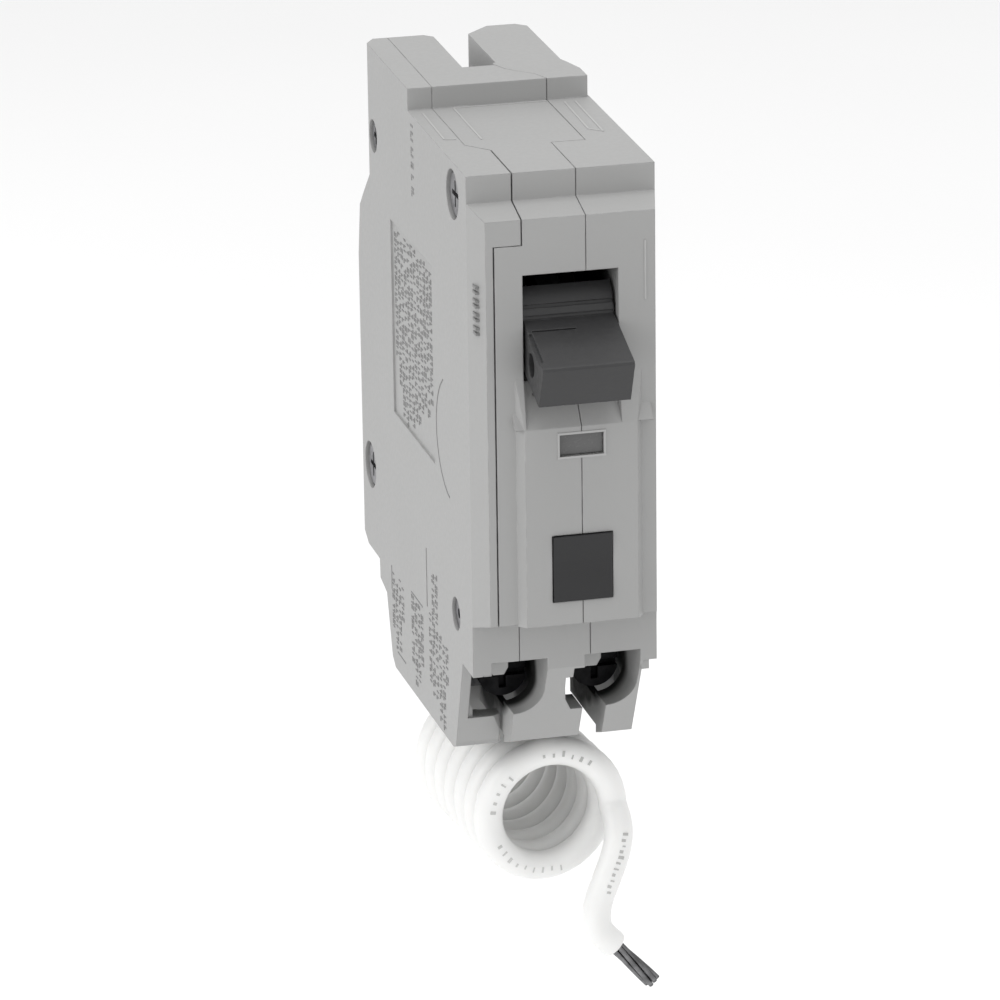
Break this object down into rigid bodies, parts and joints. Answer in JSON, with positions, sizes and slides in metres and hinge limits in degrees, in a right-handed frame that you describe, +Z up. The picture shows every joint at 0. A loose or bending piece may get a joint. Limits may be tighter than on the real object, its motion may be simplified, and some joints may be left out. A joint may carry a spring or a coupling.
{
  "type": "circuit_breaker",
  "caption": "Narrow plug-on ground-fault circuit breaker in a light grey three-piece case with a dark rocker handle, test button, screw lugs and a coiled white neutral lead",
  "frame": {"origin": "middle of the flat back face of the case", "axes": "+X to the right seen from the front, +Y out of the back, +Z up towards the busbar end"},
  "size_m": [0.0291, 0.0787, 0.127],
  "materials": {
    "case_plastic": "satin moulded, light grey",
    "dark_plastic": "satin moulded, near black",
    "window_plastic": "smooth tinted window",
    "white_plastic": "smooth",
    "wire_jacket": "smooth extruded",
    "zinc_steel": "zinc plated",
    "tin_plate": "tin plated",
    "copper": "bare copper",
    "contact_silver": "silver alloy",
    "board": "solder mask",
    "dark_parts": "moulded component bodies"
  },
  "bodies": {
    "case": {"left_cover": "case_plastic", "center_frame": "case_plastic", "right_base": "case_plastic", "case_screws": "zinc_steel", "case_rivet": "zinc_steel", "handle_pin": "zinc_steel", "indicator_lens": "window_plastic", "flag_pin": "zinc_steel", "line_jaw": "tin_plate", "jaw_spring": "zinc_steel", "line_strap": "copper", "fixed_contact": "contact_silver", "arm_pin": "zinc_steel", "arc_plates": "zinc_steel", "cradle_pin": "zinc_steel", "armature_pin": "zinc_steel", "magnet_yoke": "zinc_steel", "bimetal": "zinc_steel", "calibration_screw": "zinc_steel", "flexible_braid": "copper", "load_conductor": "dark_plastic", "load_terminal": "tin_plate", "neutral_terminal": "tin_plate", "neutral_conductor": "wire_jacket", "circuit_board": "board", "control_chip": "dark_parts", "capacitors": "dark_parts", "resistors": "dark_parts", "varistor": "dark_parts", "thyristor": "dark_parts", "fault_core": "dark_parts", "neutral_core": "dark_parts", "solenoid_frame": "zinc_steel", "solenoid_coil": "copper", "pigtail_lead_in": "wire_jacket", "pigtail_coil": "wire_jacket", "pigtail_lead_out": "wire_jacket", "pigtail_strands": "tin_plate"},
    "handle": {"handle": "dark_plastic"},
    "contact_arm": {"contact_arm": "copper", "moving_contact": "contact_silver", "toggle_spring": "zinc_steel"},
    "test_button": {"test_button": "dark_plastic"},
    "test_leaf": {"test_leaf": "copper"},
    "plunger": {"solenoid_plunger": "zinc_steel"},
    "armature": {"armature": "zinc_steel"},
    "cradle": {"cradle": "zinc_steel"},
    "trip_flag": {"trip_flag": "white_plastic"},
    "load_clamp": {"load_clamp": "tin_plate"},
    "load_screw": {"load_screw": "zinc_steel"},
    "neutral_clamp": {"neutral_clamp": "tin_plate"},
    "neutral_screw": {"neutral_screw": "zinc_steel"}
  },
  "joints": [
    {"name": "handle_pivot", "type": "hinge", "parent": "case", "child": "handle", "pos_m": [0, -0.062, 0.025], "axis": [-1, 0, 0], "range_deg": [0, 40]},
    {"name": "contact_arm_pivot", "type": "hinge", "parent": "case", "child": "contact_arm", "pos_m": [0.0048, -0.051, 0.014], "axis": [-1, 0, 0], "range_deg": [0, 18]},
    {"name": "test_button_press", "type": "slide", "parent": "case", "child": "test_button", "axis": [0, 1, 0], "range_m": [0, 0.0012], "stiffness_N_per_m": 600},
    {"name": "test_leaf_flex", "type": "hinge", "parent": "case", "child": "test_leaf", "pos_m": [0.0009, -0.0643, -0.0136], "axis": [-1, 0, 0], "range_deg": [0, 9.5]},
    {"name": "plunger_pull", "type": "slide", "parent": "case", "child": "plunger", "axis": [0, 1, 0], "range_m": [0, 0.0007]},
    {"name": "armature_pivot", "type": "hinge", "parent": "case", "child": "armature", "pos_m": [0.0076, -0.0155, -0.005], "axis": [-1, 0, 0], "range_deg": [0, 9]},
    {"name": "cradle_trip", "type": "hinge", "parent": "case", "child": "cradle", "pos_m": [0.0075, -0.045, 0.0205], "axis": [-1, 0, 0], "range_deg": [0, 12]},
    {"name": "trip_flag_swing", "type": "hinge", "parent": "case", "child": "trip_flag", "pos_m": [0.0009, -0.057, 0.0034], "axis": [-1, 0, 0], "range_deg": [0, 10]},
    {"name": "load_clamp_travel", "type": "slide", "parent": "case", "child": "load_clamp", "axis": [0, 1, 0], "range_m": [0, 0.0028]},
    {"name": "load_screw_turn", "type": "hinge", "parent": "load_clamp", "child": "load_screw", "pos_m": [0.0066, -0.0552, -0.0275], "axis": [0, 1, 0], "range_deg": [0, 1440]},
    {"name": "neutral_clamp_travel", "type": "slide", "parent": "case", "child": "neutral_clamp", "axis": [0, 1, 0], "range_m": [0, 0.0028]},
    {"name": "neutral_screw_turn", "type": "hinge", "parent": "neutral_clamp", "child": "neutral_screw", "pos_m": [-0.0063, -0.0552, -0.0275], "axis": [0, 1, 0], "range_deg": [0, 1440]}
  ],
  "couplings": [
    {"joint": "contact_arm_pivot", "follows": "handle_pivot", "ratio": 0.45},
    {"joint": "test_leaf_flex", "follows": "test_button_press", "rad_per_m": 138},
    {"joint": "armature_pivot", "follows": "plunger_pull", "rad_per_m": 224},
    {"joint": "cradle_trip", "follows": "plunger_pull", "rad_per_m": 299},
    {"joint": "trip_flag_swing", "follows": "plunger_pull", "rad_per_m": 249},
    {"joint": "load_screw_turn", "follows": "load_clamp_travel", "rad_per_m": 8976},
    {"joint": "neutral_screw_turn", "follows": "neutral_clamp_travel", "rad_per_m": 8976}
  ]
}
